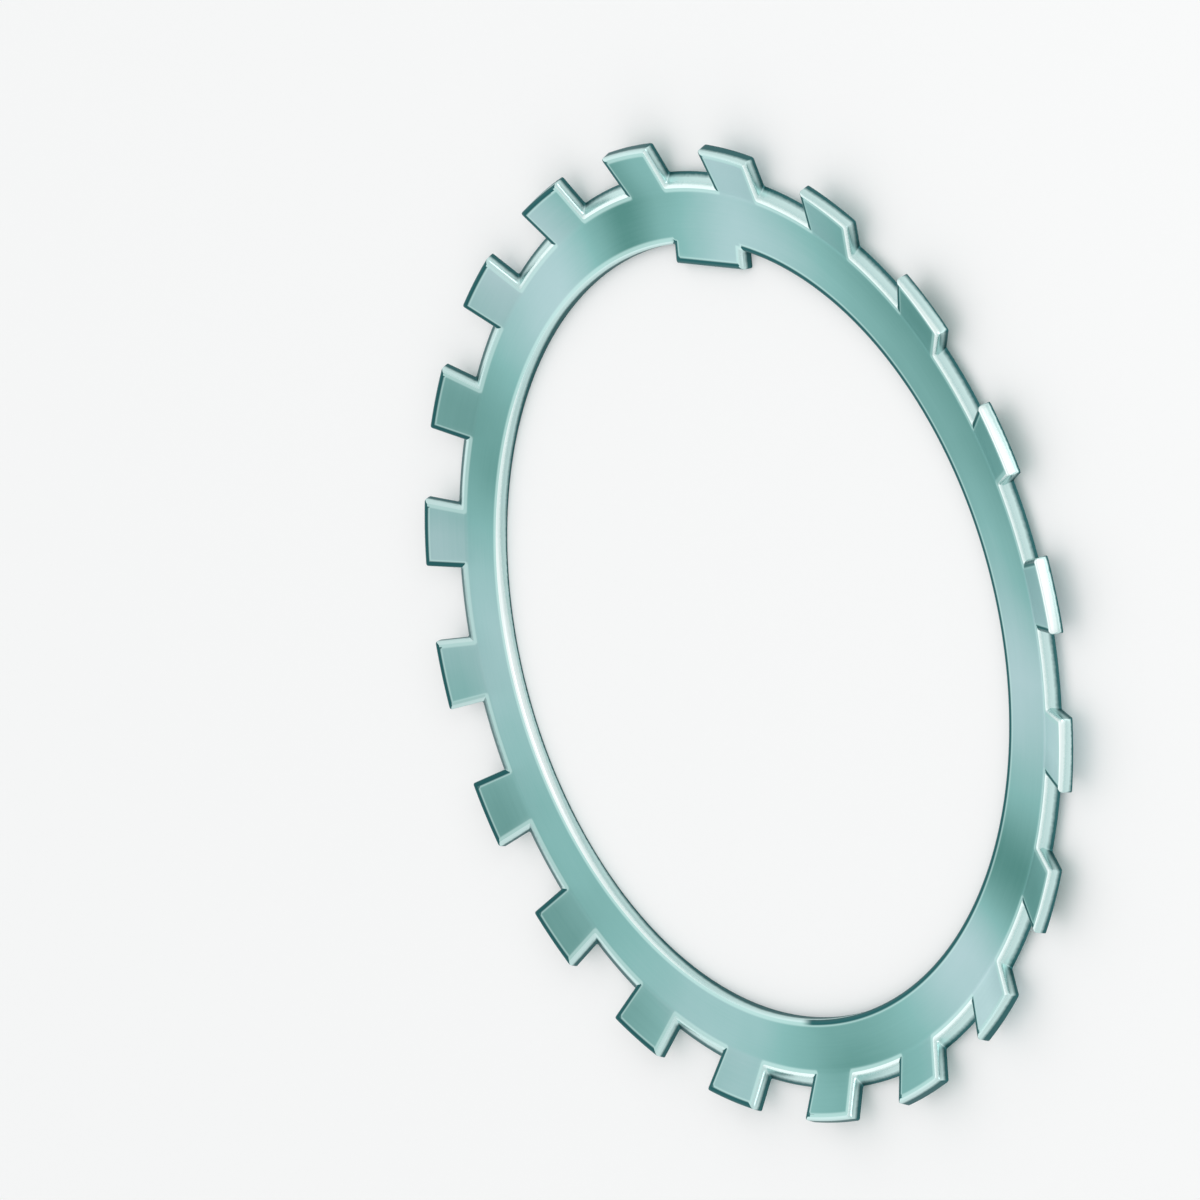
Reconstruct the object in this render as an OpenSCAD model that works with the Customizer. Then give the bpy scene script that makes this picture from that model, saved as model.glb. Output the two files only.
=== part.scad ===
// Lock washer for a slotted round nut: one piece of stamped sheet steel.
// A flat ring slides over a threaded shaft, and its back face is z = 0.
// Teeth stand out from its rim and are bent up to the front, and one flat tab reaches into the bore.
// Sizes are in millimetres and angles in degrees.

/* [Ring] */
// Diameter of the shaft that the washer slides over
shaft_d = 120; // [100:1:128]
// Play of the bore round the shaft, across the diameter
bore_play = 0.5; // [0.1:0.1:1.5]
// Diameter over the tips of the bent teeth
outer_d = 152; // [146:1:175]
// Thickness of the steel sheet
sheet = 2; // [1:0.1:2.5]

/* [Teeth] */
// Number of teeth round the rim
tooth_count = 20; // [14:1:26]
// Width of one tooth, as an angle about the ring's centre
tooth_angle = 8.6; // [4:0.1:11]
// Turn of the row of teeth, away from a gap that is centred on the tab
tooth_turn = 2; // [-9:0.5:9]
// Diameter of the gap floors at the front face
floor_d = 138; // [134:0.5:144]
// How much further out a gap floor lies at the back face
floor_rake = 2.2; // [0:0.1:3]

/* [Bend] */
// Angle that the teeth are bent up by
bend_angle = 26; // [10:1:35]
// Radius inside the bend, at the front face
bend_r = 2; // [0.5:0.1:3]
// Width of straight slope between the bend and the gap floors
floor_step = 0.4; // [0.4:0.1:1.5]

/* [Inner tab] */
// Width of the tab that enters the keyway
tab_w = 16; // [6:0.5:30]
// How far the tab reaches into the bore
tab_reach = 3.5; // [1.5:0.1:8]

/* [Edges] */
// Radius of the front edges of the bore and of the teeth's tips, drawn in by the blanking punch
rim_edge_r = 0.45; // [0.25:0.05:0.5]
// Radius of the front edges of the gaps and of the tab, drawn in by the notching punch
notch_edge_r = 0.6; // [0.55:0.05:0.8]

/* [Hidden] */
steel = "#7FB5B2";
$fn = 96;
// Straight steps in which an outline follows each of its arcs
arc_steps = 5;
// How far a cutter runs past what it cuts
over = 4;

bore_r = (shaft_d + bore_play) / 2;
floor_r = floor_d / 2;
outer_r = outer_d / 2;
tooth_pitch = 360 / tooth_count;
gap_angle = tooth_pitch - tooth_angle;

// Ways along the slope of a tooth and out of its back face, as [radius, height]
along = [cos(bend_angle), sin(bend_angle)];
backward = [sin(bend_angle), -cos(bend_angle)];
// The bend starts where it leaves floor_step of slope inside the gap floors
bend_start_r = floor_r - floor_step * along.x - bend_r * sin(bend_angle);
// Corners of the sheet's section at the bend and at the tip, before they are rounded
front_apex = [bend_start_r + bend_r * tan(bend_angle / 2), sheet];
back_apex = [bend_start_r + (bend_r + sheet) * tan(bend_angle / 2), 0];
back_tip = back_apex + along * (outer_r - back_apex.x) / along.x;
front_tip = back_tip - backward * sheet;
// Edges of a gap floor on the two faces of the slope
front_floor = on_slope(front_apex, floor_r);
back_floor = on_slope(back_apex, floor_r + floor_rake);

// Point at the radius r on the slope that starts at an apex
function on_slope(apex, r) = apex + along * (r - apex.x) / along.x;

function unit(v) = v / norm(v);
function turned(v, a) = [v.x * cos(a) - v.y * sin(a), v.x * sin(a) + v.y * cos(a)];

// Arc of radius r that rounds the corner b on the way from a to c
function corner_arc(a, b, c, r) =
    let (
        u = unit(a - b),
        v = unit(c - b),
        half = acos(u * v) / 2,
        centre = b + unit(u + v) * r / sin(half),
        side = sign(cross(b - a, c - b)),
        sweep = side * (180 - 2 * half)
    )
    [for (i = [0:arc_steps]) centre + turned(b + u * r / tan(half) - centre, sweep * i / arc_steps)];

// The same arc, with its first step drawn out past the face that it starts on
function run_in_arc(a, b, c, r) =
    let (arc = corner_arc(a, b, c, r))
    [2 * arc[0] - arc[1], for (i = [1:arc_steps]) arc[i]];

// Section of the sheet from the centre to the tip of a tooth
module sheet_section() {
    centre = [0, sheet];
    polygon([
        [0, 0],
        each corner_arc([0, 0], back_apex, back_tip, bend_r + sheet),
        back_tip,
        each corner_arc(back_tip, front_tip, front_apex, rim_edge_r),
        each corner_arc(front_tip, front_apex, centre, bend_r),
        centre,
    ]);
}

// Room past a straight edge along Z: the front face looks to -X, and the room is on the side of +Y
module past_edge(length, reach) {
    edge = run_in_arc([0, -reach], [0, 0], [reach, 0], notch_edge_r);
    translate([0, 0, -length / 2])
        linear_extrude(height = length)
            polygon([
                [-over, edge[0].y],
                each edge,
                [sheet + over, 0],
                [sheet + over, reach],
                [-over, reach],
            ]);
}

// Room outside a gap floor, all round
module past_floor() {
    inside = front_floor - along;
    edge = run_in_arc(inside, front_floor, back_floor, notch_edge_r);
    deep = back_floor + (back_floor - front_floor);
    rotate_extrude()
        polygon([
            [edge[0].x, back_tip.y + sheet + over],
            each edge,
            deep,
            [deep.x, -over],
            [outer_r + over, -over],
            [outer_r + over, back_tip.y + sheet + over],
        ]);
}

// Room past the flank that bounds a gap on the side of -Y, from inside the gap floor to past the tip
module past_flank() {
    length = 2 * (norm(back_tip - back_floor) + over);
    rotate([0, 0, -gap_angle / 2])
        translate([front_floor.x, 0, front_floor.y])
            rotate([0, 90 - bend_angle, 0])
                past_edge(length, outer_r * sin(gap_angle) + over);
}

// Gap between two teeth, centred on +X
module gap() {
    intersection() {
        past_floor();
        past_flank();
        mirror([0, 1, 0])
            past_flank();
    }
}

// Room inside the bore, without the tab that reaches into it at +Y
module bore() {
    edge = run_in_arc([2 * bore_r, sheet], [bore_r, sheet], [bore_r, 0], rim_edge_r);
    intersection() {
        rotate_extrude()
            polygon([
                [edge[0].x, sheet + over],
                each edge,
                [bore_r, -over],
                [0, -over],
                [0, sheet + over],
            ]);
        union() {
            for (side = [-1, 1])
                translate([side * tab_w / 2, 0, sheet])
                    rotate([0, 0, -side * 90])
                        past_tab_edge();
            translate([0, bore_r - tab_reach, sheet])
                rotate([0, 0, 180])
                    past_tab_edge();
        }
    }
}

// Room past one straight edge of the tab, along X with the room on the side of +Y, as wide as the bore
module past_tab_edge() {
    rotate([0, 90, 0])
        past_edge(4 * bore_r, 2 * bore_r + over);
}

module lock_washer() {
    color(steel)
        difference() {
            rotate_extrude()
                sheet_section();
            bore();
            for (i = [0:tooth_count - 1])
                rotate([0, 0, 90 + tooth_turn + i * tooth_pitch])
                    gap();
        }
}

lock_washer();
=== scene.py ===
"""Looks of a lock washer for a slotted round nut, made of stamped sheet steel.

The washer is one piece: a flat ring with teeth that are bent up from its rim and one flat tab in
its bore. It lies on its back face on a pale floor, and the camera looks down on it. Sizes are in
metres and angles in radians, unless a name says degrees.
"""

import logging
import math
from collections.abc import Iterator, Sequence
from dataclasses import dataclass
from enum import Enum
from typing import NamedTuple

import bpy
from mathutils import Matrix, Vector


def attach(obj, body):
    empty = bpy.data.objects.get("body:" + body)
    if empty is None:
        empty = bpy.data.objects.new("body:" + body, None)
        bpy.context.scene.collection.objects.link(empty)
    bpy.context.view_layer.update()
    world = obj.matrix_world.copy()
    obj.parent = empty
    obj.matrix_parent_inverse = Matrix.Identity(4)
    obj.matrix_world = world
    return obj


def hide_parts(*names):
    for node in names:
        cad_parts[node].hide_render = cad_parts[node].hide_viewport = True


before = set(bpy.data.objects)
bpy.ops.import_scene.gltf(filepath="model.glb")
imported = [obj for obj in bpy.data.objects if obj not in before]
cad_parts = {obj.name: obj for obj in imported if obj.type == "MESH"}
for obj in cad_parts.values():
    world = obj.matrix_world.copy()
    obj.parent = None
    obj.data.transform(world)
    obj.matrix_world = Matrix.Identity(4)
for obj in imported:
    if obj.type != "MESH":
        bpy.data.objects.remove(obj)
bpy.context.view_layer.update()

MM = 0.001
FULL_TURN_DEGREES = 360
NODE = "lock_washer"
log = logging.getLogger("lock_washer")

Tree = bpy.types.NodeTree
Node = bpy.types.Node
Colour = tuple[float, float, float, float]
# Values at rising places
Table = tuple[tuple[float, float], ...]
# What an input gets: a value, an output, or a node that stands for its first output in use
Feed = Node | bpy.types.NodeSocket | Sequence | float


class Side(Enum):
    """The two faces of the sheet."""

    FRONT = "front"
    BACK = "back"


class Finish(Enum):
    """The finishes that the washer's surface is divided into. The value is the material slot."""

    GROUND_FACE = 0
    SHEARED_EDGE = 1


def lerp(a: float, b: float, share: float) -> float:
    """Returns the value that lies at share of the way from a to b."""
    return a + (b - a) * share


def polar(radius: float, angle: float, height: float) -> Vector:
    """Returns the place at that radius, that angle from +X and that height."""
    return Vector((radius * math.cos(angle), radius * math.sin(angle), height))


def outward(heading: float, rise: float = 0.0) -> Vector:
    """Returns the direction at that angle from +X and that angle above level."""
    return polar(math.cos(rise), heading, math.sin(rise))


def spread(length: float, near: Sequence[float], middle: int) -> list[float]:
    """Shares of a line at which its points lie, closer together at both of its ends.

    Args:
        length: Length of the line.
        near: Distances from each end at which there is a point.
        middle: Number of equal steps between the innermost of those points.

    Returns:
        Rising shares from 0 to 1.
    """
    head = [0.0, *(distance / length for distance in near)]
    tail = [1 - share for share in reversed(head)]
    inner = [lerp(head[-1], tail[0], step / middle) for step in range(1, middle)]
    return [*head, *inner, *tail]


@dataclass(frozen=True)
class RolledEdge:
    """Edge that the punch drew in, as an arc between the front face and the sheared wall."""

    radius: float

    def reach(self, depth: float, lean: float = 0.0) -> float:
        """How far the surface reaches past the sharp edge that the arc replaces.

        Args:
            depth: Distance under the front face.
            lean: Angle by which the wall leans outward from square.

        Returns:
            The reach. It is below zero inside the sharp edge.
        """
        turn = math.pi / 2 - lean
        if depth >= self.radius * (1 - math.cos(turn)):
            return depth * math.tan(lean)
        along = self.radius * math.sin(math.acos(1 - depth / self.radius))
        return along - self.radius * math.tan(turn / 2)


@dataclass(frozen=True)
class SheetSection:
    """Section of the sheet from the bore to the tip of a tooth.

    A place in it has a run, which is measured along the front face from the start of the bend,
    and a depth under that face.
    """

    bore_r: float = 60.25 * MM
    floor_r: float = 69.0 * MM
    # How much further out the gap floors are on the back face
    floor_rake: float = 2.2 * MM
    # Distance along the front face from the end of the bend to the gap floors
    floor_step: float = 0.4 * MM
    outer_r: float = 76.0 * MM
    thickness: float = 2.0 * MM
    bend_r: float = 2.0 * MM
    bend_angle: float = math.radians(26)
    back_break: float = 0.08 * MM
    rim_edge: RolledEdge = RolledEdge(0.45 * MM)
    notch_edge: RolledEdge = RolledEdge(0.6 * MM)

    @property
    def bend_start_r(self) -> float:
        """Radius at which the flat ring ends and the bend starts."""
        slope = self.floor_step * math.cos(self.bend_angle)
        return self.floor_r - slope - self.bend_r * math.sin(self.bend_angle)

    @property
    def bend_run(self) -> float:
        """Length of the bend along the front face."""
        return self.bend_r * self.bend_angle

    @property
    def lean(self) -> float:
        """Angle by which the gap floors lean outward, from square to the slope."""
        back = self.slope_run(self.floor_r + self.floor_rake, self.thickness)
        return math.atan((back - self.slope_run(self.floor_r, 0.0)) / self.thickness)

    def place(self, run: float, depth: float) -> tuple[float, float]:
        """Finds a place of the section.

        Args:
            run: Distance along the front face from the start of the bend.
            depth: Distance under the front face.

        Returns:
            The radius and the height.
        """
        if run <= 0:
            return self.bend_start_r + run, self.thickness - depth
        turn = min(run / self.bend_r, self.bend_angle)
        past = max(run - self.bend_run, 0.0)
        arm = self.bend_r + depth
        radius = self.bend_start_r + arm * math.sin(turn) + past * math.cos(turn)
        height = self.thickness + self.bend_r - arm * math.cos(turn) + past * math.sin(turn)
        return radius, height

    def slope_run(self, radius: float, depth: float) -> float:
        """Run at which the slope of the teeth has that radius, at that depth."""
        bend = (self.bend_r + depth) * math.sin(self.bend_angle)
        return self.bend_run + (radius - self.bend_start_r - bend) / math.cos(self.bend_angle)

    def broken(self, depth: float) -> float:
        """How far the small break at the back face's edges draws the wall in, at that depth."""
        sunk = max(depth - (self.thickness - self.back_break), 0.0)
        return self.back_break - math.sqrt(max(self.back_break**2 - sunk**2, 0.0))

    def floor_run(self, depth: float) -> float:
        """Run of a gap floor at that depth."""
        reach = self.notch_edge.reach(depth, self.lean)
        return self.slope_run(self.floor_r, 0.0) + reach - self.broken(depth)

    def tip_run(self, depth: float) -> float:
        """Run of a tooth's tip at that depth."""
        tip = self.slope_run(self.outer_r, self.thickness)
        return tip + self.rim_edge.reach(depth) - self.broken(depth)

    def bore_radius(self, depth: float) -> float:
        """Radius of the bore at that depth."""
        return self.bore_r - self.rim_edge.reach(depth) + self.broken(depth)

    def bore_run(self, depth: float) -> float:
        """Run of the bore at that depth, which is below zero."""
        return self.bore_radius(depth) - self.bend_start_r

    def notch_inset(self, depth: float) -> float:
        """How far a flank or a side of the tab lies inside its sharp edge at that depth."""
        return self.broken(depth) - self.notch_edge.reach(depth)

    def depths(self, roll_steps: int, wall_steps: int, break_steps: int) -> list[float]:
        """Depths of the outlines that the sheared wall is laid through.

        Args:
            roll_steps: Steps round the rolled edge at the front.
            wall_steps: Steps down the straight wall.
            break_steps: Steps round the small break at the back.

        Returns:
            Rising depths from the front face to the back face.
        """
        roll = self.notch_edge.radius
        end = self.thickness - self.back_break
        quarter = math.pi / 2
        return [
            *(roll * (1 - math.cos(quarter * i / roll_steps)) for i in range(roll_steps)),
            *(lerp(roll, end, i / wall_steps) for i in range(wall_steps)),
            *(
                end + self.back_break * math.sin(quarter * i / break_steps)
                for i in range(break_steps + 1)
            ),
        ]


@dataclass(frozen=True)
class ToothRow:
    """The row of teeth and gaps round the rim. Angles run counter-clockwise from +X."""

    count: int = 20
    tooth_angle: float = math.radians(8.6)
    first_gap: float = math.radians(92)

    @property
    def pitch(self) -> float:
        """Angle from one gap to the next."""
        return math.tau / self.count

    @property
    def gap_angle(self) -> float:
        """Angle between the flanks of a gap."""
        return self.pitch - self.tooth_angle

    def flanks(self, number: int) -> tuple[float, float]:
        """Angles of the two flanks that bound gap number."""
        middle = self.first_gap + number * self.pitch
        return middle - self.gap_angle / 2, middle + self.gap_angle / 2

    def middle(self, number: int) -> float:
        """Angle of the middle of the tooth that follows gap number."""
        return self.first_gap + (number + 0.5) * self.pitch


@dataclass(frozen=True)
class InnerTab:
    """The flat tab that reaches into the bore at +Y."""

    width: float = 16.0 * MM
    reach: float = 3.5 * MM

    def half_width(self, section: SheetSection, depth: float) -> float:
        """Distance of the tab's sides from its middle at that depth."""
        return self.width / 2 - section.notch_inset(depth)

    def end_y(self, section: SheetSection, depth: float) -> float:
        """Place of the tab's end along Y at that depth."""
        return section.bore_r - self.reach + section.notch_inset(depth)

    def root_angles(self, section: SheetSection, depth: float) -> tuple[float, float]:
        """Angles of the corners at which the tab leaves the bore, the one on the +X side first."""
        half = math.asin(self.half_width(section, depth) / section.bore_radius(depth))
        return math.pi / 2 - half, math.pi / 2 + half


@dataclass(frozen=True)
class BurnishedBandWithPaintedLight:
    """The bright band that the punch burnishes on the sheared wall, under the rolled edge.

    Its width is painted light: the band is wider on the walls that look to the lit side and
    narrower on the others. Each shift is the share of the sheet by which the
    band ends nearer the front than it does at its plain width.
    """

    # Side from which the painted light falls
    side: float = math.radians(18)
    # How far a wall of the bore or a tip looks to that side where the band has its plain width
    even: float = 0.8
    # The most by which the band widens and narrows there
    gain: float = 0.5
    loss: float = 0.42
    # The shift on the tab, and the least shift on flanks and gap floors with what is added to it
    tab_shift: float = 0.3
    flank_shift: float = 0.08
    flank_loss: float = 0.36
    floor_shift: float = 0.05
    floor_loss: float = 0.7

    def round_shift(self, heading: float) -> float:
        """Shift on a wall of the bore or of a tip.

        Args:
            heading: Angle from +X at which the wall looks out.

        Returns:
            The shift, which is below zero where the band is wider.
        """
        facing = math.cos(heading - self.side)
        if facing > self.even:
            return -self.gain * ((facing - self.even) / (1 - self.even)) ** 2
        return min(self.even - facing, self.loss)

    def gap_flank_shift(self, angle: float) -> float:
        """Shift on a flank that lies at that angle from +X."""
        away = (1 - math.cos(angle - self.side)) / 2
        return self.flank_shift + self.flank_loss * away**2

    def gap_floor_shift(self, heading: float) -> float:
        """Shift on a gap floor that looks out at that angle from +X."""
        return self.floor_shift + self.floor_loss * max(-math.cos(heading - self.side), 0.0) ** 2


class Marks(NamedTuple):
    """What the finishes read at a point. Each value is kept in a mesh attribute of its name."""

    # Share of the way through the sheet, from the front face
    sheet_depth: float
    # From 0 for as ground to 1 at an edge, rubbed by tumbling, with the painted highlight and the
    # painted shade line
    edge_wear: float
    # How far the nearest edge looks to the side of the painted light, from -1 for away to 1
    edge_facing: float
    # Share of the sheet by which the burnished band ends nearer the front, which is painted light
    band_shift: float
    # Share of the way from the middle of the ring to the tip of a tooth
    tooth_slope: float


class MeshDraft:
    """Points and quads of a mesh while it is laid out."""

    def __init__(self) -> None:
        """Starts an empty draft."""
        self.places: list[Vector] = []
        self.marks: list[Marks] = []
        self.quads: list[tuple[int, ...]] = []
        self.slots: list[int] = []

    def point(self, place: Vector, marks: Marks) -> int:
        """Adds a point.

        Args:
            place: Where it lies.
            marks: What the finishes read there.

        Returns:
            The number of the point.
        """
        self.places.append(place)
        self.marks.append(marks)
        return len(self.places) - 1

    def quad(self, corners: Sequence[int], finish: Finish, flip: bool) -> None:
        """Adds a quad whose corners run counter-clockwise from outside, or clockwise if flip."""
        self.quads.append(tuple(reversed(corners)) if flip else tuple(corners))
        self.slots.append(finish.value)

    def patch(self, rows: Sequence[Sequence[int]], finish: Finish, flip: bool = False) -> None:
        """Fills the quads between rows of points that are equally long.

        Args:
            rows: The rows. Each runs to the left of the way to the next, seen from outside.
            finish: The finish of the quads.
            flip: Whether the rows run to the right instead.
        """
        for low, high in zip(rows, rows[1:]):
            for i in range(len(low) - 1):
                self.quad((low[i], high[i], high[i + 1], low[i + 1]), finish, flip)

    def band(self, loops: Sequence[Sequence[int]], finish: Finish, flip: bool = False) -> None:
        """Fills the quads between closed loops of points that are equally long."""
        self.patch([[*loop, loop[0]] for loop in loops], finish, flip)

    def build(self, name: str) -> bpy.types.Object:
        """Turns the draft into a smooth-shaded object whose attributes the finishes read.

        Args:
            name: Name of the object and of its mesh.

        Returns:
            The new object, which is linked to the scene.
        """
        mesh = bpy.data.meshes.new(name)
        mesh.from_pydata(self.places, [], self.quads)
        for label, values in zip(Marks._fields, zip(*self.marks)):
            mesh.attributes.new(label, "FLOAT", "POINT").data.foreach_set("value", values)
        mesh.polygons.foreach_set("material_index", self.slots)
        mesh.polygons.foreach_set("use_smooth", [True] * len(self.quads))
        mesh.update()
        piece = bpy.data.objects.new(name, mesh)
        bpy.context.scene.collection.objects.link(piece)
        return piece


@dataclass
class StampedWasher:
    """Mesh of the whole washer, laid out in rings and radial lines that follow its edges.

    The radial lines are numbered counter-clockwise from the first flank of gap 0.
    """

    section: SheetSection = SheetSection()
    teeth: ToothRow = ToothRow()
    tab: InnerTab = InnerTab()
    band: BurnishedBandWithPaintedLight = BurnishedBandWithPaintedLight()
    # Rounding of the corners of teeth, gaps and tab
    corner_r: float = 0.3 * MM
    # How far in from an edge tumbling wears the face, and the painted highlight and painted shade
    # line reach
    worn_width: float = 0.8 * MM
    # How far inside the bend the painted light and shade start to change the tone towards the tips
    tone_reach: float = 4.5 * MM
    # Steps round the rolled edge, down the wall and round the break at the back
    roll_steps: int = 6
    wall_steps: int = 5
    break_steps: int = 2
    # Steps between the worn strips of a gap, a tooth, a flank, the flat ring and the tab's length
    gap_middle: int = 8
    tooth_middle: int = 8
    flank_middle: int = 5
    ring_middle: int = 7
    tab_middle: int = 2
    bend_steps: int = 4
    # How far round the bore the tab's corners draw the radial lines in
    warp_reach: float = math.radians(22)
    sharp_angle: float = math.radians(40)
    # Side from which the painted light falls, which keeps the painted shade line off the edges
    # that look to it, as an angle from +X and a rise
    painted_light_side: float = math.radians(14)
    painted_light_rise: float = math.radians(35)
    # How much further round the painted shade line along the bore lies
    bore_lag: float = math.radians(7)
    # How far up the rolled edge of a tip looks for the painted shade line, which is less than the
    # teeth are bent
    tip_rise: float = math.radians(18)

    def __post_init__(self) -> None:
        """Works out the shares at which the radial lines and the flanks' points lie."""
        floor_r = self.section.floor_r
        self.draft = MeshDraft()
        self.near = (self.corner_r, self.worn_width)
        self.gap_shares = spread(self.teeth.gap_angle * floor_r, self.near, self.gap_middle)
        self.tooth_shares = spread(self.teeth.tooth_angle * floor_r, self.near, self.tooth_middle)
        flank = self.section.tip_run(0.0) - self.section.floor_run(0.0)
        self.flank_shares = spread(flank, self.near, self.flank_middle)
        self.gap_steps = len(self.gap_shares) - 1
        self.pitch_steps = self.gap_steps + len(self.tooth_shares) - 1
        self.steps = self.pitch_steps * self.teeth.count
        nominal = [self.line_angle(i, 0.0, floor_r) for i in range(-self.pitch_steps, self.steps)]
        self.tab_lines = tuple(
            min(range(len(nominal)), key=lambda i: abs(nominal[i] - root)) - self.pitch_steps
            for root in self.tab.root_angles(self.section, 0.0)
        )
        first, last = self.tab_lines
        self.tab_shares = spread(self.tab.width, self.near, last - first - 2 * len(self.near))
        self.tab_row_shares = spread(self.tab.reach, self.near, self.tab_middle)[1:]

    @property
    def rounding(self) -> float:
        """How far a corner's point moves along each of its two edges to round the corner."""
        return self.corner_r * (1 - math.sqrt(0.5))

    def line_angle(self, line: int, inset: float, radius: float) -> float:
        """Angle of a radial line of the rim.

        Args:
            line: Number of the line.
            inset: How far the flanks lie inside their sharp edges.
            radius: Radius at which the angle is wanted.

        Returns:
            The angle, which rises with the line's number.
        """
        number, step = divmod(line, self.pitch_steps)
        turn = math.asin(inset / radius)
        low, high = self.teeth.flanks(number)
        low, high = low - turn, high + turn
        if step <= self.gap_steps:
            return lerp(low, high, self.gap_shares[step])
        following = self.teeth.flanks(number + 1)[0] - turn
        return lerp(high, following, self.tooth_shares[step - self.gap_steps])

    def from_tab(self, line: int) -> int:
        """Renumbers a radial line, so that it lies less than half a turn from the tab."""
        low = (sum(self.tab_lines) - self.steps) // 2
        return (line - low) % self.steps + low

    def bore_angle(self, line: int, depth: float) -> float:
        """Angle at which a radial line meets the bore, where the tab's corners draw lines in.

        Args:
            line: Number of the line, less than half a turn from the tab.
            depth: Depth at which the angle is wanted.

        Returns:
            The angle, which rises with the line's number.
        """
        first, last = self.tab_lines
        low, high = self.tab.root_angles(self.section, depth)
        radius = self.section.floor_r
        if first <= line <= last:
            return lerp(low, high, self.tab_shares[line - first])
        angle = self.line_angle(line, 0.0, radius)
        if line > last:
            shift = high - self.line_angle(last, 0.0, radius)
            away = angle - high
        else:
            shift = low - self.line_angle(first, 0.0, radius)
            away = low - angle
        return angle + shift * max(1 - away / self.warp_reach, 0.0)

    def add(
        self, place: Vector, depth: float, distance: float, out: Vector, run: float, shift: float
    ) -> int:
        """Adds a point.

        Args:
            place: Where it lies.
            depth: Its depth.
            distance: Distance from the nearest edge of the sheet.
            out: Direction in which the wall at that edge looks.
            run: Its run.
            shift: Shift of the burnished band, which is painted light.

        Returns:
            The number of the point.
        """
        section = self.section
        worn = max(1 - distance / self.worn_width, 0.0)
        # How far the edge looks to the side of the painted light, for the painted shade line
        facing = out.dot(outward(self.painted_light_side, self.painted_light_rise))
        tone_run = max(run + self.tone_reach, 0.0)
        slope = tone_run / (section.tip_run(section.thickness) + self.tone_reach)
        return self.draft.point(place, Marks(depth / section.thickness, worn, facing, shift, slope))

    def floor_outward(self, angle: float) -> Vector:
        """Direction in which a gap floor looks at that angle."""
        return outward(angle, self.section.bend_angle + self.section.lean)

    def tip_outward(self, line: int) -> Vector:
        """Direction in which the tip of the tooth that a radial line crosses looks."""
        return outward(self.teeth.middle((line - 1) // self.pitch_steps), self.tip_rise)

    def nearest_edge(
        self, line: int, run: float, depth: float, angle: float
    ) -> tuple[float, Vector]:
        """Finds the edge of a gap or of a tooth's tip that is nearest to a place on a face.

        Args:
            line: Number of the radial line that the place lies on.
            run: Its run.
            depth: Depth of the face.
            angle: Its angle.

        Returns:
            The distance along the face, and the direction in which the wall at that edge looks.
        """
        section = self.section
        step = line % self.pitch_steps
        floor = section.floor_run(depth)
        if step <= self.gap_steps:
            return max(floor - run, 0.0), self.floor_outward(angle)
        share = self.tooth_shares[step - self.gap_steps]
        width = self.teeth.tooth_angle * section.place(run, depth)[0]
        width -= 2 * section.notch_inset(depth)
        aside = min(share, 1 - share) * width
        tip = section.tip_run(depth) - run
        if run < floor:
            return min(math.hypot(aside, floor - run), tip), self.floor_outward(angle)
        if tip < aside:
            return tip, self.tip_outward(line)
        return aside, outward(angle + math.copysign(math.pi / 2, share - 0.5))

    def ring_runs(self, depth: float) -> list[float]:
        """Runs of the rows of points between the bore and the gap floors at a face.

        Args:
            depth: Depth of the face.

        Returns:
            Rising runs, with that of the bore and that of the gap floors.
        """
        bore, floor = self.section.bore_run(depth), self.section.floor_run(depth)
        flat = [bore, *(bore + distance for distance in self.near)]
        flat += [lerp(flat[-1], 0.0, i / self.ring_middle) for i in range(1, self.ring_middle)]
        bend = [self.section.bend_run * i / self.bend_steps for i in range(self.bend_steps + 1)]
        slope = [floor - self.worn_width, floor - self.corner_r, floor]
        return [*flat, *bend, *(run for run in slope if run > bend[-1])]

    def ring_point(self, line: int, run: float, depth: float) -> int:
        """Adds the point of a face where a radial line has that run, inside the gap floors.

        Args:
            line: Number of the radial line.
            run: The run.
            depth: Depth of the face.

        Returns:
            The number of the point.
        """
        section = self.section
        line = self.from_tab(line)
        radius, height = section.place(run, depth)
        rim = self.line_angle(line, section.notch_inset(depth), radius)
        bore = section.bore_run(depth)
        angle = lerp(rim, self.bore_angle(line, depth), min(max(run / bore, 0.0), 1.0))
        distance, out = self.nearest_edge(line, run, depth, angle)
        beside_tab = line < self.tab_lines[0] or line > self.tab_lines[1]
        if beside_tab and run - bore < distance:
            distance, out = run - bore, outward(angle + math.pi + self.bore_lag)
        shift = self.band.round_shift(angle + math.pi)
        return self.add(polar(radius, angle, height), depth, distance, out, run, shift)

    def floor_point(self, line: int, depth: float) -> int:
        """Adds the point where a radial line meets a gap floor, rounded at the gap's corners.

        Args:
            line: Number of the radial line.
            depth: Depth of the point.

        Returns:
            The number of the point.
        """
        section = self.section
        run = section.floor_run(depth)
        side = {0: 1, self.gap_steps: -1}.get(line % self.pitch_steps, 0)
        if side:
            run += self.rounding
        radius, height = section.place(run, depth)
        angle = self.line_angle(line, section.notch_inset(depth), radius)
        angle += side * self.rounding / radius
        shift = self.band.gap_floor_shift(angle)
        place = polar(radius, angle, height)
        return self.add(place, depth, 0.0, self.floor_outward(angle), run, shift)

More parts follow.
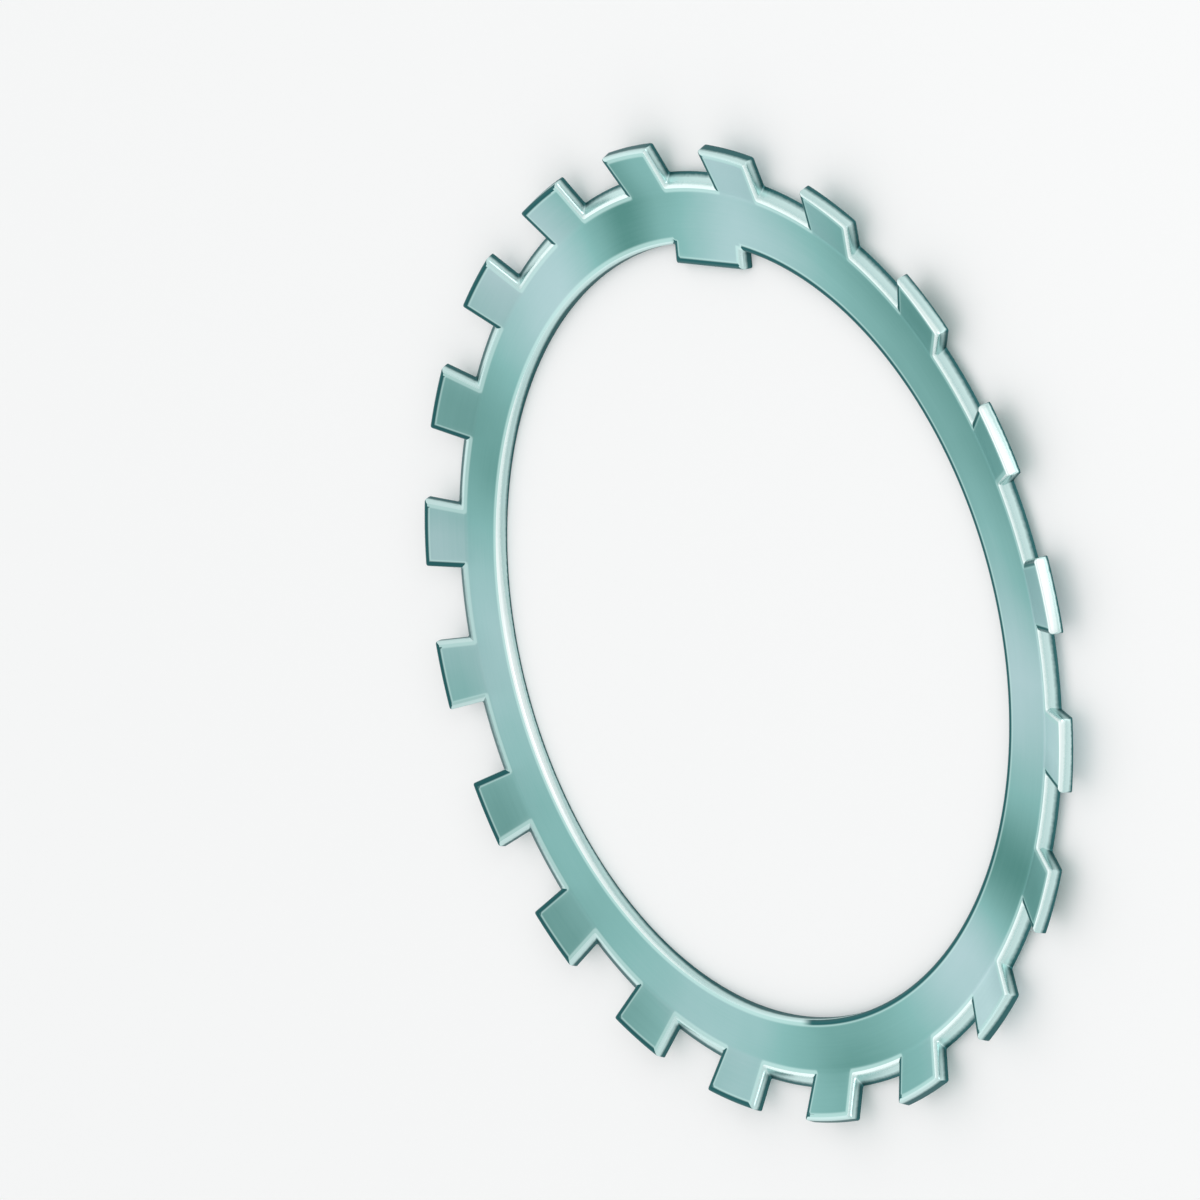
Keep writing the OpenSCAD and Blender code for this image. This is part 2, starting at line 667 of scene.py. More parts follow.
    def tooth_point(self, line: int, share: float, depth: float) -> int:
        """Adds a point of a tooth between its gap floors and its tip.

        Args:
            line: Number of the radial line that the point lies on.
            share: Its share of the way from the floors to the tip.
            depth: Its depth.

        Returns:
            The number of the point.
        """
        section = self.section
        run = lerp(section.floor_run(depth), section.tip_run(depth), share)
        side = {self.gap_steps: 1, 0: -1}.get(line % self.pitch_steps, 0)
        at_corner = side != 0 and share == 1.0
        if at_corner:
            run -= self.rounding
        radius, height = section.place(run, depth)
        angle = self.line_angle(line, section.notch_inset(depth), radius)
        distance, out = self.nearest_edge(line, run, depth, angle)
        shift = self.band.round_shift(angle)
        if side:
            distance, out = 0.0, outward(angle - side * math.pi / 2)
            shift = self.band.gap_flank_shift(angle)
        if at_corner:
            angle += side * self.rounding / section.outer_r
            out = (out + self.tip_outward(line)).normalized()
        return self.add(polar(radius, angle, height), depth, distance, out, run, shift)

    def tab_point(self, line: int, share: float, depth: float) -> int:
        """Adds a point of the tab.

        Args:
            line: Number of the radial line that the point lies on.
            share: Its share of the way from the bore's circle to the tab's end.
            depth: Its depth.

        Returns:
            The number of the point.
        """
        section = self.section
        first, last = self.tab_lines
        half = self.tab.half_width(section, depth)
        end = self.tab.end_y(section, depth)
        height = section.thickness - depth
        root = polar(section.bore_radius(depth), self.bore_angle(line, depth), height)
        across = self.tab_shares[line - first]
        place = root.lerp(Vector((lerp(half, -half, across), end, height)), share)
        side = {first: 1, last: -1}.get(line, 0)
        if side and share == 0.0:
            place += Vector((side * self.rounding, -self.rounding, 0.0))
        if side and share == 1.0:
            place += Vector((-side * self.rounding, self.rounding, 0.0))
        aside, ahead = half - abs(place.x), place.y - end
        heading = math.pi * (place.x < 0) if aside < ahead else -math.pi / 2
        distance = 0.0 if side else max(min(aside, ahead), 0.0)
        run = place.xy.length - section.bend_start_r
        return self.add(place, depth, distance, outward(heading), run, self.band.tab_shift)

    def tooth_lines(self, number: int) -> range:
        """Numbers of the radial lines of the tooth that follows gap number."""
        start = number * self.pitch_steps + self.gap_steps
        return range(start, start + len(self.tooth_shares))

    def rim_outline(self, depth: float) -> list[int]:
        """Adds the outline of gaps and teeth at a depth.

        Args:
            depth: Depth of the outline.

        Returns:
            The numbers of its points, counter-clockwise from the first flank of gap 0.
        """
        loop = []
        shares = self.flank_shares[1:]
        for number in range(self.teeth.count):
            lines = self.tooth_lines(number)
            floor = range(number * self.pitch_steps, lines[0] + 1)
            loop += [self.floor_point(line, depth) for line in floor]
            loop += [self.tooth_point(lines[0], share, depth) for share in shares]
            loop += [self.tooth_point(line, 1.0, depth) for line in lines[1:-1]]
            loop += [self.tooth_point(lines[-1], share, depth) for share in reversed(shares)]
        return loop

    def bore_outline(self, depth: float) -> list[int]:
        """Adds the outline of the bore and the tab at a depth.

        Args:
            depth: Depth of the outline.

        Returns:
            The numbers of its points, counter-clockwise from the tab's corner on the -X side.
        """
        first, last = self.tab_lines
        run = self.section.bore_run(depth)
        shares = self.tab_row_shares
        return [
            self.tab_point(last, 0.0, depth),
            *(self.ring_point(line, run, depth) for line in range(last + 1, first + self.steps)),
            self.tab_point(first, 0.0, depth),
            *(self.tab_point(first, share, depth) for share in shares),
            *(self.tab_point(line, 1.0, depth) for line in range(first + 1, last)),
            *(self.tab_point(last, share, depth) for share in reversed(shares)),
        ]

    def rim_parts(self, loop: Sequence[int]) -> Iterator[tuple[list[int], ...]]:
        """Splits an outline of the rim at its teeth.

        Args:
            loop: The outline, as rim_outline gives it.

        Returns:
            For each gap and the tooth after it, in turn: the points of the gap floor, of the
            rising flank, of the tip with both corners, and of the falling flank from its foot.
        """
        rise = self.gap_steps + len(self.flank_shares)
        fall = rise + len(self.tooth_shares) - 2
        length = fall + len(self.flank_shares) - 1
        for number in range(self.teeth.count):
            part = loop[number * length : (number + 1) * length]
            following = loop[(number + 1) * length % len(loop)]
            down = [following, *reversed(part[fall:])]
            crest = [*part[rise - 1 : fall], down[-1]]
            yield part[: self.gap_steps + 1], part[self.gap_steps : rise], crest, down

    def bore_parts(self, loop: Sequence[int]) -> tuple[list[int], ...]:
        """Splits an outline of the bore at the tab.

        Args:
            loop: The outline, as bore_outline gives it.

        Returns:
            The points of the bore's circle from one of the tab's corners to the other, of the
            tab's side at +X from its root, of its end, and of its side at -X from its root.
        """
        first, last = self.tab_lines
        corner = self.steps - (last - first)
        end = corner + len(self.tab_row_shares)
        fall = end + last - first
        left = [loop[0], *reversed(loop[fall:])]
        return loop[: corner + 1], loop[corner : end + 1], [*loop[end:fall], left[-1]], left

    def face(self, side: Side, rim: Sequence[int], bore: Sequence[int]) -> None:
        """Fills a face of the sheet between its two outlines.

        Args:
            side: Which face it is.
            rim: Its outline round the teeth.
            bore: Its outline round the bore.
        """
        depth = 0.0 if side is Side.FRONT else self.section.thickness
        flip = side is Side.BACK
        first, last = self.tab_lines
        circle, right, end, left = self.bore_parts(bore)
        inner = {line % self.steps: point for line, point in enumerate(circle, last)}
        for line in range(first + 1, last):
            inner[line % self.steps] = self.tab_point(line, 0.0, depth)
        outer = {}
        floor_run = self.section.floor_run(depth)
        teeth = []
        for number, (floor, up, crest, down) in enumerate(self.rim_parts(rim)):
            lines = self.tooth_lines(number)
            outer.update(enumerate(floor, number * self.pitch_steps))
            base = [up[0], *(self.ring_point(i, floor_run, depth) for i in lines[1:-1]), down[0]]
            outer.update(zip(lines[1:-1], base[1:-1]))
            teeth.append((lines, base, up, crest, down))
        rows = [[inner[line] for line in range(self.steps)]]
        for run in self.ring_runs(depth)[1:-1]:
            rows.append([self.ring_point(line, run, depth) for line in range(self.steps)])
        rows.append([outer[line] for line in range(self.steps)])
        self.draft.band(rows, Finish.GROUND_FACE, flip)
        for lines, base, up, crest, down in teeth:
            grid = [base]
            for row, share in enumerate(self.flank_shares[1:-1], 1):
                inside = [self.tooth_point(line, share, depth) for line in lines[1:-1]]
                grid.append([up[row], *inside, down[row]])
            self.draft.patch([*grid, crest], Finish.GROUND_FACE, flip)
        grid = [[inner[line % self.steps] for line in range(first, last + 1)]]
        for row, share in enumerate(self.tab_row_shares[:-1], 1):
            inside = [self.tab_point(line, share, depth) for line in range(first + 1, last)]
            grid.append([right[row], *inside, left[row]])
        self.draft.patch([*grid, end], Finish.GROUND_FACE, not flip)

    def build(self) -> bpy.types.Object:
        """Lays out the faces and the sheared walls between them.

        Returns:
            The washer as one closed mesh object.
        """
        depths = self.section.depths(self.roll_steps, self.wall_steps, self.break_steps)
        rims = [self.rim_outline(depth) for depth in depths]
        bores = [self.bore_outline(depth) for depth in depths]
        self.draft.band(rims, Finish.SHEARED_EDGE)
        self.draft.band(bores, Finish.SHEARED_EDGE, flip=True)
        self.face(Side.FRONT, rims[0], bores[0])
        self.face(Side.BACK, rims[-1], bores[-1])
        piece = self.draft.build("stamped_washer")
        piece.data.set_sharp_from_angle(angle=self.sharp_angle)
        shading = piece.modifiers.new("flat_faces", "WEIGHTED_NORMAL")
        shading.keep_sharp = True
        return piece


def linear(colour: str) -> Colour:
    """Turns an sRGB hex colour such as "#7FB5B2" into linear light with full opacity."""
    channels = (int(colour[i : i + 2], 16) / 255 for i in (1, 3, 5))
    return (*(c / 12.92 if c <= 0.04045 else ((c + 0.055) / 1.055) ** 2.4 for c in channels), 1.0)


def greys(table: Sequence[tuple[float, float]], whole: float = 1.0) -> list[tuple[float, Colour]]:
    """Turns a table of greys into stops, whose places are shares of whole."""
    return [(place / whole, (grey, grey, grey, 1.0)) for place, grey in table]


def add_node(
    tree: Tree,
    kind: str,
    inputs: dict[str, Feed] | Sequence[Feed] = (),
    stops: Sequence[tuple[float, Colour]] = (),
    blend: str = "LINEAR",
    **settings: object,
) -> Node:
    """Adds a node with its settings and links.

    Args:
        tree: The tree that gets the node.
        kind: Blender's name for the kind of node, without ShaderNode in front.
        inputs: What its inputs get, by their identifiers or in the order of those in use.
        stops: Place and linear colour of each stop of a colour ramp, by rising place.
        blend: Blender's name for the way a colour ramp runs between its stops.
        settings: Properties of the node itself.

    Returns:
        The new node.
    """
    node = tree.nodes.new("ShaderNode" + kind)
    for name, value in settings.items():
        setattr(node, name, value)
    sockets = {socket.identifier: socket for socket in node.inputs if socket.enabled}
    feeds = inputs if isinstance(inputs, dict) else dict(zip(sockets, inputs))
    for name, value in feeds.items():
        if isinstance(value, Node):
            value = next(socket for socket in value.outputs if socket.enabled)
        if isinstance(value, bpy.types.NodeSocket):
            tree.links.new(value, sockets[name])
        else:
            sockets[name].default_value = value
    if stops:
        node.color_ramp.interpolation = blend
        elements = node.color_ramp.elements
        while len(elements) < len(stops):
            elements.new(1.0)
        for element, (place, colour) in zip(elements, stops):
            element.position = place
            element.color = colour
    return node


def swung(tree: Tree, value: Feed, noise: Feed, swing: float) -> Node:
    """Adds noise from 0 to 1 to a value, which swings it by that much and keeps its mean."""
    centred = add_node(tree, "Math", (noise, swing, -swing / 2), operation="MULTIPLY_ADD")
    return add_node(tree, "Math", (value, centred), operation="ADD")


def new_material(name: str) -> tuple[bpy.types.Material, Tree]:
    """Makes an empty node material.

    Args:
        name: Its name.

    Returns:
        The material and its tree.
    """
    material = bpy.data.materials.new(name)
    material.use_nodes = True
    material.node_tree.nodes.clear()
    return material, material.node_tree


@dataclass(frozen=True)
class PaintedEdgeShade:
    """Painted shade: a dark line along the edges that look away from the light.

    It gives the eye a thin dark outline round the teeth, the tab and the bore.
    """

    colour: str = "#2A5C5E"
    # How far an edge looks to the lit side where the painted shade starts and where it is full
    start: float = 0.02
    full: float = -0.02

    def over(self, tree: Tree, colour: Feed, near: Feed) -> Node:
        """Lays the painted shade line over a colour.

        Args:
            tree: The material's tree.
            colour: The colour without the line.
            near: How near to an edge the surface is, from 0 to 1.

        Returns:
            The colour with the line.
        """
        # Painted shade: dark where the edge looks away from the lit side
        facing = add_node(tree, "Attribute", attribute_name="edge_facing").outputs["Fac"]
        inputs = (facing, self.start, self.full)
        away = add_node(tree, "MapRange", inputs, interpolation_type="SMOOTHSTEP")
        share = add_node(tree, "Math", (away, near), operation="MULTIPLY")
        return add_node(tree, "Mix", (share, colour, linear(self.colour)), data_type="RGBA")


@dataclass(frozen=True)
class PaintedLightLift:
    """Painted light and shade: tone that differs round the washer, on one stretch to the tips."""

    # The difference at angles in degrees from +X, with 0.5 for none
    painted_light_sweeps: Table
    # How strongly it shows at shares of the way from the middle of the ring to the tips
    weight: Table

    def over(self, tree: Tree, tone: Feed, share: Feed, slope: Feed) -> Node:
        """Adds the difference to a tone.

        Args:
            tree: The material's tree.
            tone: The tone without it.
            share: Share of the way round the washer.
            slope: Share of the way to the tips.

        Returns:
            The tone with it.
        """
        stops = greys(self.painted_light_sweeps, FULL_TURN_DEGREES)
        difference = add_node(tree, "ValToRGB", (share,), stops)
        strength = add_node(tree, "ValToRGB", (slope,), greys(self.weight))
        centred = add_node(tree, "Math", (difference, 0.5), operation="SUBTRACT")
        return add_node(tree, "Math", (centred, strength, tone), operation="MULTIPLY_ADD")


@dataclass(frozen=True)
class GroundSteelFace:
    """Spring steel sheet, rotary ground on both faces and passivated blue-green.

    The grinder leaves fine rings round the bore, and slow sweeps of lighter and darker tone are
    painted reflection round the ring, so the eye reads a metal that was turned under the wheel.
    The edges are rubbed paler by tumbling and carry a painted highlight.
    """

    # Colours from dark to brilliant, of which a tone of 1 reaches the one at tone_scale
    tones: tuple[tuple[float, str], ...] = (
        (0.0, "#53857F"), (0.44, "#80AFAC"), (0.8, "#ACC7CA"), (1.0, "#C8E0E2"),
    )
    tone_scale: float = 0.8
    # Painted reflection round the ring: tone from 0 for dark to 1 for light, at angles in degrees
    # from +X
    painted_light_sweeps: Table = (
        (0, 0.98), (20, 0.56), (38, 0.38), (60, 0.50), (83, 0.88), (95, 0.56), (101, 0.34),
        (107, 0.02), (112, 0.25), (117, 0.60), (127, 0.96), (143, 0.62), (160, 0.22),
        (172, 0.58), (186, 0.80), (200, 0.68), (222, 0.53), (240, 0.58), (256, 0.74),
        (270, 0.60), (284, 0.26), (300, 0.52), (315, 0.96), (324, 0.62), (333, 0.02),
        (342, 0.42), (350, 0.74), (360, 0.98),
    )
    # Painted light and shade at the rim of the ring, at the folds and on the teeth, where the bend
    # changes how light falls on them
    painted_light_lifts: tuple[PaintedLightLift, ...] = (
        PaintedLightLift(
            painted_light_sweeps=(
                (0, 0.44), (12, 0.29), (32, 0.34), (50, 0.29), (72, 0.34), (84, 0.46),
                (150, 0.48), (162, 0.56), (180, 0.48), (192, 0.52), (227, 0.49), (256, 0.54),
                (285, 0.38), (297, 0.48), (315, 0.45), (333, 0.50), (350, 0.50), (360, 0.44),
            ),
            weight=((0.0, 0.0), (0.36, 1.0), (0.45, 0.0)),
        ),
        PaintedLightLift(
            painted_light_sweeps=(
                (0, 0.65), (35, 0.64), (65, 0.57), (85, 0.52), (100, 0.50), (173, 0.50),
                (191, 0.54), (227, 0.59), (263, 0.57), (281, 0.44), (299, 0.56), (317, 0.63),
                (335, 0.67), (360, 0.65),
            ),
            weight=((0.38, 0.0), (0.41, 1.0), (0.70, 0.0)),
        ),
        PaintedLightLift(
            painted_light_sweeps=(
                (0, 0.78), (11, 0.62), (29, 0.52), (47, 0.36), (65, 0.53), (83, 0.60),
                (101, 0.58), (119, 0.58), (137, 0.56), (155, 0.54), (173, 0.76), (191, 0.32),
                (209, 0.19), (227, 0.28), (245, 0.29), (263, 0.56), (281, 0.65), (299, 0.51),
                (317, 0.72), (335, 0.76), (353, 0.95), (360, 0.78),
            ),
            weight=((0.36, 0.0), (0.44, 0.65), (0.72, 1.0)),
        ),
    )
    # Uneven patches of passivation, and how much the tone swings over them
    cloud_size: float = 9.0 * MM
    cloud_swing: float = 0.12
    # Grinding rings. The real ones are 0.05 mm apart, and are drawn coarser, so that they show
    ring_width: float = 0.35 * MM
    ring_depth: float = 0.01 * MM
    ring_bump: float = 0.35
    ring_detail: float = 3.0
    # Radius of a ring in the noise, which gives it some 30 longer and shorter strokes
    ring_stroke_r: float = 5.0
    ring_swing: float = 0.10
    # Paler colour along the edges, wear from tumbling with a painted highlight; how worn the face
    # is where it is fullest, and how much of it there is then
    worn_and_highlight: str = "#C4E4E0"
    worn_highlight_full: float = 0.5
    worn_highlight_share: float = 0.6
    # Painted shade line along the edges that look away from the light
    painted_edge_shade: PaintedEdgeShade = PaintedEdgeShade()
    # How worn the face is where the painted shade line starts and where it is full
    line_start: float = 0.34
    line_full: float = 0.72
    roughness: float = 0.36
    rough_swing: float = 0.08
    # Gloss is drawn out square to the rings, which the quarter turn from the tangent gives
    gloss_stretch: float = 0.6
    gloss_turn: float = 0.25
    grazing: str = "#C3E0DE"

    def build(self) -> bpy.types.Material:
        """Builds the material.

        Returns:
            The material.
        """
        material, tree = new_material("ground_blue_green_passivated_steel")
        place = add_node(tree, "TexCoord").outputs["Object"]
        rings = self.rings(tree, place)
        relief = {"Height": rings, "Strength": self.ring_bump, "Distance": self.ring_depth}
        surface = {
            "Base Color": self.colour(tree, self.tone(tree, place, rings)),
            "Metallic": 1.0,
            "Specular Tint": linear(self.grazing),
            "Roughness": swung(tree, self.roughness, rings, self.rough_swing),
            "Anisotropic": self.gloss_stretch,
            "Anisotropic Rotation": self.gloss_turn,
            "Normal": add_node(tree, "Bump", relief),
            "Tangent": add_node(tree, "Tangent", direction_type="RADIAL", axis="Z"),
        }
        shader = add_node(tree, "BsdfPrincipled", surface)
        add_node(tree, "OutputMaterial", {"Surface": shader})
        return material

    def tone(self, tree: Tree, place: Feed, rings: Feed) -> Node:
        """Adds the tone: painted reflection that sweeps round the washer, and painted light and
        shade that shift it towards the tips.

        Args:
            tree: The material's tree.
            place: The place on the washer.
            rings: The grinding rings.

        Returns:
            The tone, from 0 for dark to 1 for light and a little past both.
        """
        axes = add_node(tree, "SeparateXYZ", (place,)).outputs
        angle = add_node(tree, "Math", (axes["Y"], axes["X"]), operation="ARCTAN2")
        turns = add_node(tree, "Math", (angle, 1 / math.tau, 1.0), operation="MULTIPLY_ADD")
        share = add_node(tree, "Math", (turns,), operation="FRACT")
        # Painted reflection: the tone sweeps lighter and darker round the ring
        stops = greys(self.painted_light_sweeps, FULL_TURN_DEGREES)
        tone = add_node(tree, "ValToRGB", (share,), stops, "CARDINAL")
        slope = add_node(tree, "Attribute", attribute_name="tooth_slope").outputs["Fac"]
        # Painted light and shade at the rim, the folds and the teeth
        for lift in self.painted_light_lifts:
            tone = lift.over(tree, tone, share, slope)
        clouds = add_node(tree, "TexNoise", {"Vector": place, "Scale": 1 / self.cloud_size})
        return swung(tree, swung(tree, tone, rings, self.ring_swing), clouds, self.cloud_swing)

    def colour(self, tree: Tree, tone: Feed) -> Node:
        """Adds the colour, which is rubbed paler with a painted highlight and outlined with painted
        shade along the edges.

        Args:
            tree: The material's tree.
            tone: The tone.

        Returns:
            The colour.
        """
        scaled = add_node(tree, "Math", (tone, self.tone_scale), operation="MULTIPLY")
        stops = [(place, linear(colour)) for place, colour in self.tones]
        ground = add_node(tree, "ValToRGB", (scaled,), stops)
        wear = add_node(tree, "Attribute", attribute_name="edge_wear").outputs["Fac"]
        # Paler near the edges: wear from tumbling and a painted highlight
        inputs = (wear, 0.0, self.worn_highlight_full, 0.0, self.worn_highlight_share)
        share = add_node(tree, "MapRange", inputs, interpolation_type="SMOOTHSTEP")
        worn_and_highlight = add_node(tree, "Mix", (share, ground, linear(self.worn_and_highlight)), data_type="RGBA")
        # Painted shade line along the edges that look away from the light
        inputs = (wear, self.line_start, self.line_full)
        near = add_node(tree, "MapRange", inputs, interpolation_type="SMOOTHSTEP")
        return self.painted_edge_shade.over(tree, worn_and_highlight, near)

    def rings(self, tree: Tree, place: Feed) -> Node:
        """Adds the grinding rings, as noise that is drawn out round the axis.

        Args:
            tree: The material's tree.
            place: The place on the washer.

        Returns:
            The noise.
        """
        flat = add_node(tree, "VectorMath", (place, (1.0, 1.0, 0.0)), operation="MULTIPLY")
        radius = add_node(tree, "VectorMath", (flat,), operation="LENGTH")
        heading = add_node(tree, "VectorMath", (flat,), operation="NORMALIZE")
        stroke = add_node(tree, "VectorMath", (heading, self.ring_stroke_r), operation="SCALE")
        step = add_node(tree, "Math", (radius, 1 / self.ring_width), operation="MULTIPLY")
        layer = add_node(tree, "CombineXYZ", {"Z": step})
        ring = add_node(tree, "VectorMath", (stroke, layer), operation="ADD")
        inputs = {"Vector": ring, "Scale": 1.0, "Detail": self.ring_detail}
        return add_node(tree, "TexNoise", inputs)


@dataclass(frozen=True)
class ShearedSteelEdge:
    """The same steel where the blanking punch cut it.

    The punch draws in and burnishes the front of the cut, so the eye gets a near-white line
    there, with a painted highlight where it looks to the lit side, and tears the back of it,
    which stays rough and is painted dark as shade along the back face.
    """

    # Colours at depths, as shares of the sheet. A depth is below zero where the band's shift
    # moves a colour above the front face
    zones: tuple[tuple[float, str], ...] = (
        (-0.12, "#EDF7F6"),  # Burnished to a mirror, a painted highlight where the band widens to the lit side
        (0.0, "#DDEEEC"),  # Burnished, down to the next line
        (0.12, "#DDEEEC"),
        (0.26, "#BAD7D5"),  # Sheared
        (0.62, "#C8E2E0"),  # Torn
        (0.88, "#38696B"),  # Burr, rough, and painted dark as shade along the back face
    )
    # Roughness at such depths
    roughness: Table = ((0.0, 0.28), (0.35, 0.26), (0.62, 0.50))
    # Depth at which the two scales start
    first_depth: float = -0.3
    # Depths between which the colours run out to the burr, however wide the burnished band is
    closing_start: float = 0.5
    closing_end: float = 0.9
    # Depths at which the painted shade line at the front starts and where it is full
    line_start: float = 0.20
    line_full: float = 0.10
    # Painted shade line along the edges that look away from the light
    painted_edge_shade: PaintedEdgeShade = PaintedEdgeShade()
    # Tool marks down the wall. The real ones are 0.1 mm wide, and are drawn coarser, so that
    # they show. Their squash makes them ten times as long as they are wide
    streak_width: float = 0.5 * MM
    streak_squash: float = 0.1
    streak_depth: float = 0.02 * MM
    streak_bump: float = 0.3
    streak_detail: float = 2.0
    # By how much of the sheet the colours wander up and down with the tool marks
    wander: float = 0.10

    def zone_share(self, depth: float) -> float:
        """Place on the two scales of a share of the way through the sheet."""
        return (depth - self.first_depth) / (1 - self.first_depth)

    def build(self) -> bpy.types.Material:
        """Builds the material.

        Returns:
            The material.
        """
        material, tree = new_material("sheared_blue_green_passivated_steel")
        streaks = self.streaks(tree)
        depth = add_node(tree, "Attribute", attribute_name="sheet_depth").outputs["Fac"]
        zone = self.zone(tree, depth, streaks)
        stops = [(self.zone_share(place), linear(colour)) for place, colour in self.zones]
        colour = add_node(tree, "ValToRGB", (zone,), stops)
        inputs = (depth, self.line_start, self.line_full)
        near = add_node(tree, "MapRange", inputs, interpolation_type="SMOOTHSTEP")
        stops = greys([(self.zone_share(place), value) for place, value in self.roughness])
        relief = {"Height": streaks, "Strength": self.streak_bump, "Distance": self.streak_depth}
        surface = {
            "Base Color": self.painted_edge_shade.over(tree, colour, near),
            "Metallic": 1.0,
            "Roughness": add_node(tree, "ValToRGB", (zone,), stops),
            "Normal": add_node(tree, "Bump", relief),
        }
        shader = add_node(tree, "BsdfPrincipled", surface)
        add_node(tree, "OutputMaterial", {"Surface": shader})
        return material

    def streaks(self, tree: Tree) -> Node:
        """Adds the tool marks, as noise that is drawn out down the wall.

        Args:
            tree: The material's tree.

        Returns:
            The noise.
        """
        place = add_node(tree, "TexCoord").outputs["Object"]
        squash = (1.0, 1.0, self.streak_squash)
        squashed = add_node(tree, "VectorMath", (place, squash), operation="MULTIPLY")
        scale = 1 / self.streak_width
        inputs = {"Vector": squashed, "Scale": scale, "Detail": self.streak_detail}
        return add_node(tree, "TexNoise", inputs)

    def zone(self, tree: Tree, depth: Feed, streaks: Feed) -> Node:
        """Adds the place on the two scales.

        Args:
            tree: The material's tree.
            depth: Share of the way through the sheet.
            streaks: The tool marks.

        Returns:
            The place, from 0 to 1.
        """
        wandered = swung(tree, depth, streaks, self.wander)
        # Painted light: the band widens on the walls that look to the lit side
        shift = add_node(tree, "Attribute", attribute_name="band_shift").outputs["Fac"]
        shifted = add_node(tree, "Math", (shift, wandered), operation="ADD")
        ends = (self.closing_start, self.closing_end, self.first_depth, self.closing_end)
        closing = add_node(tree, "MapRange", (wandered, *ends))
        sunk = add_node(tree, "Math", (shifted, closing), operation="MAXIMUM")
        return add_node(tree, "MapRange", (sunk, self.first_depth, 1.0))


@dataclass(frozen=True)
class StudioFloor:
    """Matt white paper under the washer, which keeps its soft shadow."""

    size: float = 12.0
    colour: str = "#F6F7F7"
    roughness: float = 0.9
    specular: float = 0.1
    # Unevenness of the paper. Real fibres are far finer, and are drawn coarser, so that they show
    fibre_size: float = 1.5 * MM
    fibre_depth: float = 0.02 * MM
    fibre_bump: float = 0.1

    def build(self) -> bpy.types.Object:
        """Builds the floor at the height on which the washer rests.

        Returns:
            The floor.
        """
        half = self.size / 2
        mesh = bpy.data.meshes.new("paper_floor")
        corners = [(-half, -half, 0), (half, -half, 0), (half, half, 0), (-half, half, 0)]
        mesh.from_pydata(corners, [], [(0, 1, 2, 3)])
        floor = bpy.data.objects.new("paper_floor", mesh)
        bpy.context.scene.collection.objects.link(floor)
        material, tree = new_material("matt_white_paper")
        place = add_node(tree, "TexCoord").outputs["Object"]
        fibres = add_node(tree, "TexNoise", {"Vector": place, "Scale": 1 / self.fibre_size})
        relief = {"Height": fibres, "Strength": self.fibre_bump, "Distance": self.fibre_depth}
        surface = {
            "Base Color": linear(self.colour),
            "Roughness": self.roughness,
            "Specular IOR Level": self.specular,
            "Normal": add_node(tree, "Bump", relief),
        }
        shader = add_node(tree, "BsdfPrincipled", surface)
        add_node(tree, "OutputMaterial", {"Surface": shader})
        mesh.materials.append(material)
        return floor


@dataclass(frozen=True)
class SoftBox:
    """A soft lamp that faces the washer."""

    name: str
    azimuth_degrees: float
    elevation_degrees: float
    distance: float
    width: float
    height: float
    power: float

    def build(self) -> bpy.types.Object:
        """Hangs the lamp on its place round the washer and turns it to the washer's centre.

        Returns:
            The lamp's object.
        """
        lamp = bpy.data.lights.new(self.name, "AREA")
        lamp.shape = "RECTANGLE"
        lamp.size = self.width
        lamp.size_y = self.height
        lamp.energy = self.power
        holder = bpy.data.objects.new(self.name, lamp)
        out = outward(math.radians(self.azimuth_degrees), math.radians(self.elevation_degrees))
        holder.location = out * self.distance
        holder.rotation_euler = out.to_track_quat("Z", "Y").to_euler()
        bpy.context.scene.collection.objects.link(holder)
        return holder


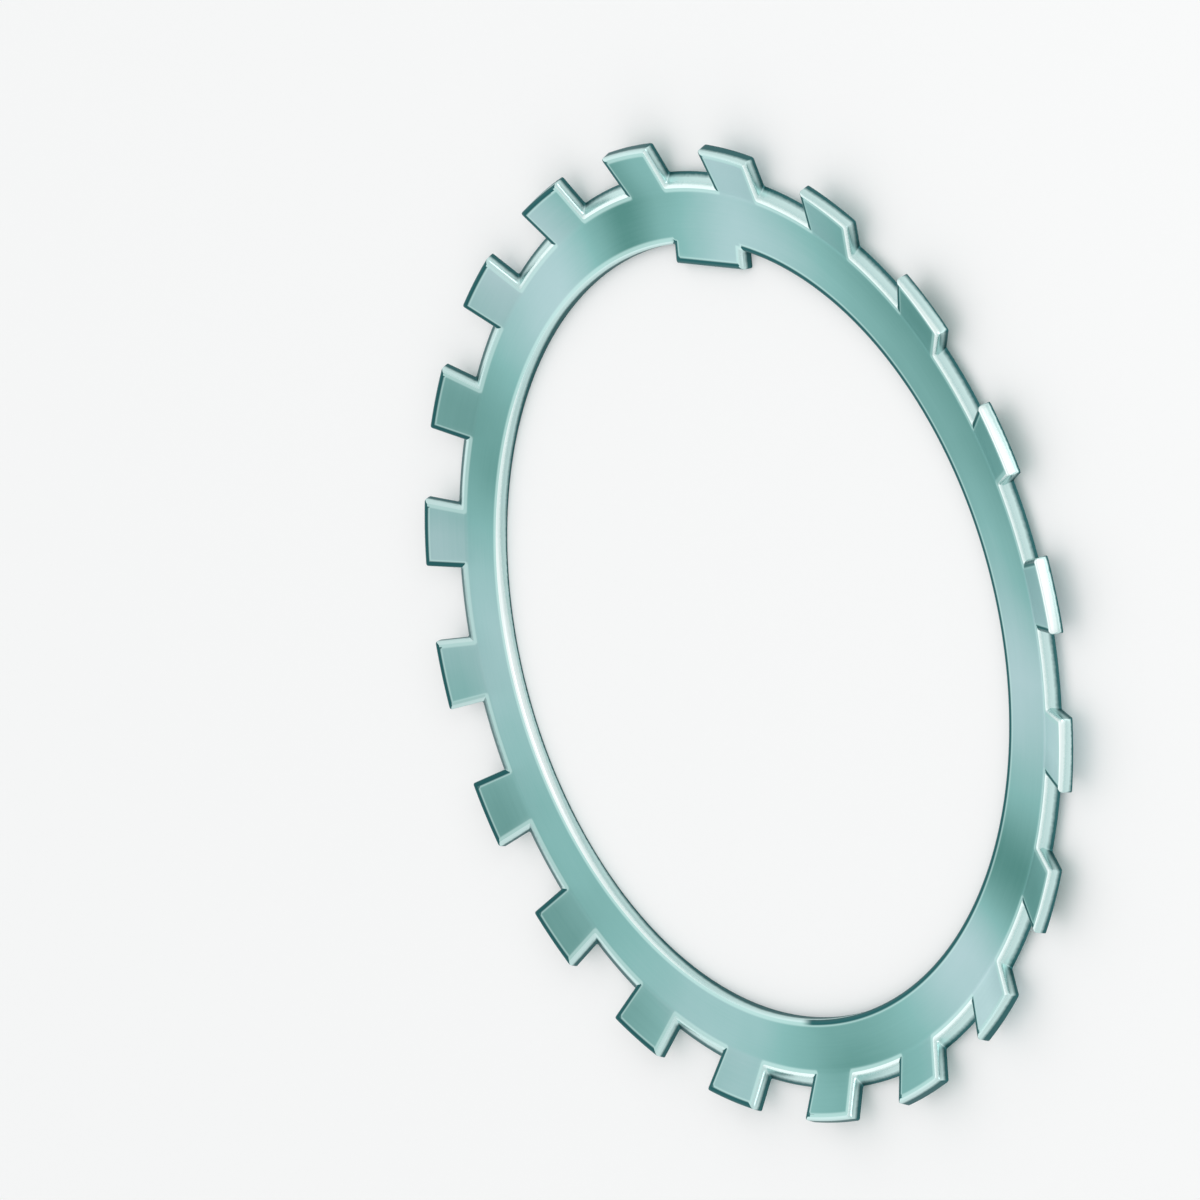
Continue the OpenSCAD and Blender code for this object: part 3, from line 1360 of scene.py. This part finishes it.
@dataclass(frozen=True)
class Studio:
    """White room and soft lamps."""

    colour: str = "#FFFFFF"
    # How brightly the room lights what is matt, while the eye and the gloss see it at full white
    fill: float = 0.9
    lamps: tuple[SoftBox, ...] = (
        SoftBox(
            name="near_softbox",
            azimuth_degrees=25,
            elevation_degrees=28,
            distance=1.2,
            width=0.7,
            height=0.5,
            power=2.6,
        ),
        SoftBox(
            name="far_softbox",
            azimuth_degrees=190,
            elevation_degrees=30,
            distance=1.2,
            width=1.6,
            height=0.8,
            power=1.0,
        ),
    )

    def build(self) -> None:
        """Builds the room and hangs the lamps."""
        world = bpy.data.worlds.new("white_room")
        bpy.context.scene.world = world
        world.use_nodes = True
        tree = world.node_tree
        tree.nodes.clear()
        ray = add_node(tree, "LightPath").outputs
        inputs = (ray["Is Camera Ray"], ray["Is Glossy Ray"])
        direct = add_node(tree, "Math", inputs, operation="MAXIMUM")
        seen = add_node(tree, "Math", (direct, ray["Is Transmission Ray"]), operation="MAXIMUM")
        strength = add_node(tree, "MapRange", (seen, 0.0, 1.0, self.fill, 1.0))
        background = add_node(tree, "Background", (linear(self.colour), strength))
        add_node(tree, "OutputWorld", {"Surface": background})
        for lamp in self.lamps:
            lamp.build()


@dataclass(frozen=True)
class StudioCamera:
    """Long lens that looks down on the lying washer and is rolled, so that the washer stands."""

    azimuth_degrees: float = 14.65
    elevation_degrees: float = 36.57
    roll_degrees: float = -104.22
    distance: float = 1033.4 * MM
    centre_height: float = 2.33 * MM
    # Where the washer's centre lies in the picture, right of and above its middle
    centre_right: float = 21.28 * MM
    centre_up: float = -5.29 * MM
    lens_mm: float = 203.8
    sensor_mm: float = 36.0

    def build(self) -> bpy.types.Object:
        """Builds the camera and makes it the scene's camera.

        Returns:
            The camera's object.
        """
        data = bpy.data.cameras.new("studio_camera")
        data.lens = self.lens_mm
        data.sensor_width = self.sensor_mm
        camera = bpy.data.objects.new("studio_camera", data)
        bpy.context.scene.collection.objects.link(camera)
        back = outward(math.radians(self.azimuth_degrees), math.radians(self.elevation_degrees))
        level_right = Vector((0, 0, 1)).cross(back).normalized()
        level = Matrix((level_right, back.cross(level_right), back)).transposed()
        turned = Matrix.Rotation(math.radians(self.roll_degrees), 3, back) @ level
        offset = Vector((self.centre_right, self.centre_up, -self.distance))
        camera.location = Vector((0, 0, self.centre_height)) - turned @ offset
        camera.rotation_euler = turned.to_euler()
        bpy.context.scene.camera = camera
        return camera


def report(piece: bpy.types.Object) -> None:
    """Logs a piece's name, its size and its number of faces."""
    size = " x ".join(f"{length / MM:.1f}" for length in piece.dimensions)
    log.info("%s: %s mm, %d faces", piece.name, size, len(piece.data.polygons))


def main() -> None:
    """Builds the camera, the washer and the studio in order, and reports each piece."""
    logging.basicConfig(level=logging.INFO, format="%(message)s")
    StudioCamera().build()
    washer = StampedWasher().build()
    for finish in (GroundSteelFace(), ShearedSteelEdge()):
        washer.data.materials.append(finish.build())
    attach(washer, "root")
    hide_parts(NODE)
    report(washer)
    report(StudioFloor().build())
    Studio().build()
    bpy.context.scene.view_settings.view_transform = "Standard"
    bpy.context.view_layer.update()


if __name__ == "__main__":
    main()
